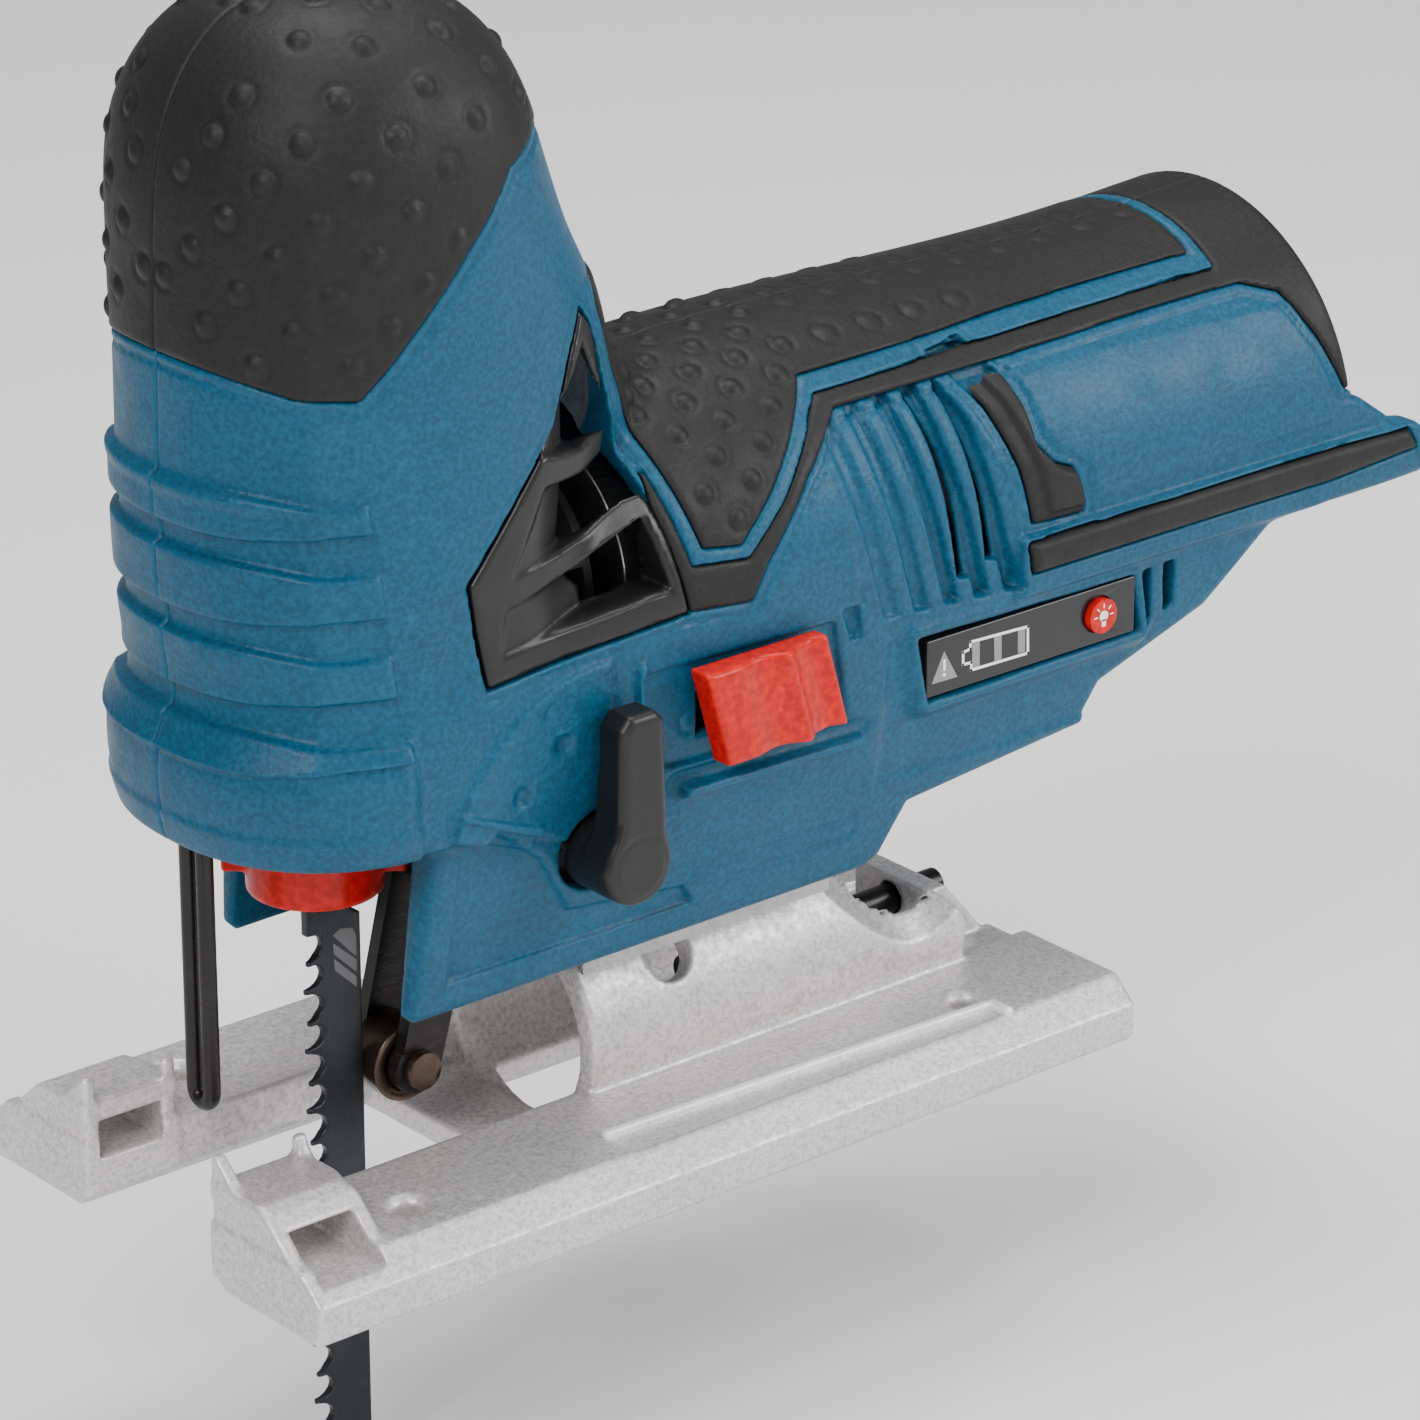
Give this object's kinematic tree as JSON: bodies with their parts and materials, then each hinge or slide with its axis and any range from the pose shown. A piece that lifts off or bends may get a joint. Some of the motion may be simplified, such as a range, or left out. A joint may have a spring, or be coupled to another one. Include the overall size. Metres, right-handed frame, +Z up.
{
  "type": "cordless jigsaw",
  "caption": "Cordless barrel-grip jigsaw with a tilting base plate, a blade guided by a roller, a tool-free blade clamp and an orbital lever.",
  "frame": {"origin": "centre of the base plate's four-hole pattern, on the sole, in the plane of the blade", "axes": "+X towards the rear of the saw, away from the cut; +Y towards the side without the switch; +Z up along the stroke"},
  "size_m": [0.1863, 0.068, 0.1923],
  "materials": {
    "cast_aluminium": "cast, sand-like, matt",
    "frame_alloy": "die-cast, matt",
    "blue_nylon": "fine grained glass-filled nylon",
    "black_grip": "soft grained over-mould",
    "black_plastic": "fine grained",
    "black_steel": "black oxide, satin",
    "screw_steel": "zinc plated",
    "bearing_steel": "ground",
    "gear_steel": "machined",
    "roller_steel": "dark oiled steel",
    "motor_steel": "plated",
    "magnet": "sintered ferrite",
    "brush_carbon": "carbon",
    "copper_windings": "laminated steel with enamelled copper",
    "brass": "plain",
    "bush_bronze": "sintered bronze",
    "fan_plastic": "moulded",
    "red_plastic": "satin moulded",
    "blade_steel": "dark coated steel with ground teeth",
    "link_plastic": "natural acetal",
    "board_green": "solder-masked board",
    "display_black": "printed film",
    "led_lens": "clear moulded"
  },
  "bodies": {
    "base": {"base_plate": "cast_aluminium"},
    "key": {"hex_key": "black_steel"},
    "housing": {"housing_left": "blue_nylon", "housing_right": "blue_nylon", "head_grip_left": "black_grip", "head_grip_right": "black_grip", "barrel_grip_left": "black_grip", "barrel_grip_right": "black_grip", "side_trim_left": "black_grip", "side_trim_right": "black_grip", "vent_grille_left": "black_plastic", "vent_grille_right": "black_plastic", "side_tabs": "black_grip", "bumpers": "black_grip", "housing_screws": "screw_steel", "bevel_screw": "screw_steel", "bevel_washer": "screw_steel", "bevel_nut": "screw_steel", "gear_frame": "frame_alloy", "motor_bearings": "bearing_steel", "gear_axle": "bearing_steel", "motor_can": "motor_steel", "motor_magnets": "magnet", "motor_end_cap": "black_plastic", "motor_brushes": "brush_carbon", "fork_pin": "bearing_steel", "guard_wire": "black_steel", "guard_clip": "black_plastic", "switch_module": "black_plastic", "control_board": "board_green", "display_panel": "display_black", "work_light": "led_lens", "contact_block": "black_plastic", "battery_contacts": "brass"},
    "rotor": {"motor_shaft": "bearing_steel", "armature": "copper_windings", "commutator": "brass", "fan": "fan_plastic", "motor_pinion": "gear_steel"},
    "crank": {"crank_gear": "gear_steel", "crank_pin": "bearing_steel", "crank_roller": "bearing_steel"},
    "guide": {"rod_guide": "frame_alloy", "upper_bush": "bush_bronze", "lower_bush": "bush_bronze"},
    "stroke": {"stroke_rod": "bearing_steel", "yoke": "gear_steel", "clamp_body": "gear_steel", "clamp_spring": "gear_steel", "blade": "blade_steel"},
    "collar": {"clamp_collar": "red_plastic"},
    "fork": {"roller_fork": "black_steel", "roller_pin": "bearing_steel"},
    "roller": {"guide_roller": "roller_steel"},
    "lever": {"orbital_lever": "black_plastic", "orbital_shaft": "bearing_steel"},
    "switch": {"power_slider": "red_plastic", "switch_link": "link_plastic"},
    "button": {"light_button": "red_plastic"}
  },
  "joints": [
    {"name": "key_slide", "type": "slide", "parent": "base", "child": "key", "axis": [1, 0, 0], "range_m": [0, 0.05]},
    {"name": "bevel", "type": "hinge", "parent": "base", "child": "housing", "pos_m": [0, 0, 0.0131], "axis": [1, 0, 0], "range_deg": [-45, 45]},
    {"name": "crank_turn", "type": "hinge", "parent": "housing", "child": "crank", "pos_m": [-0.028, 0, 0.0956], "axis": [1, 0, 0], "range_deg": [0, 180]},
    {"name": "rotor_turn", "type": "hinge", "parent": "housing", "child": "rotor", "pos_m": [0, 0, 0.074], "axis": [1, 0, 0], "range_deg": [-905, 0]},
    {"name": "orbital_swing", "type": "hinge", "parent": "housing", "child": "guide", "pos_m": [-0.0395, 0, 0.131], "axis": [0, 1, 0], "range_deg": [0, 1.2]},
    {"name": "stroke", "type": "slide", "parent": "guide", "child": "stroke", "axis": [0, 0, 1], "range_m": [0, 0.018]},
    {"name": "collar_turn", "type": "hinge", "parent": "stroke", "child": "collar", "pos_m": [-0.0395, 0, 0.04], "axis": [0, 0, 1], "range_deg": [0, 60], "stiffness_Nm_per_rad": 0.15, "springref_deg": -11.46},
    {"name": "fork_swing", "type": "hinge", "parent": "housing", "child": "fork", "pos_m": [-0.0195, 0, 0.046], "axis": [0, 1, 0], "range_deg": [0, 4.6]},
    {"name": "roller_turn", "type": "hinge", "parent": "fork", "child": "roller", "pos_m": [-0.02825, 0, 0.0144], "axis": [0, 1, 0], "continuous": true},
    {"name": "lever_turn", "type": "hinge", "parent": "housing", "child": "lever", "pos_m": [-0.0138, -0.028, 0.0455], "axis": [0, 1, 0], "range_deg": [-60, 0]},
    {"name": "switch_slide", "type": "slide", "parent": "housing", "child": "switch", "axis": [-1, 0, 0], "range_m": [0, 0.0055]},
    {"name": "light_press", "type": "slide", "parent": "housing", "child": "button", "axis": [0, 1, 0], "range_m": [0, 0.0008], "stiffness_N_per_m": 1500, "springref_m": -0.0004}
  ],
  "couplings": [
    {"joint": "stroke", "follows": "crank_turn", "m_per_rad": 0.0057296},
    {"joint": "rotor_turn", "follows": "crank_turn", "ratio": -5},
    {"joint": "fork_swing", "follows": "orbital_swing", "ratio": 3.6899}
  ]
}
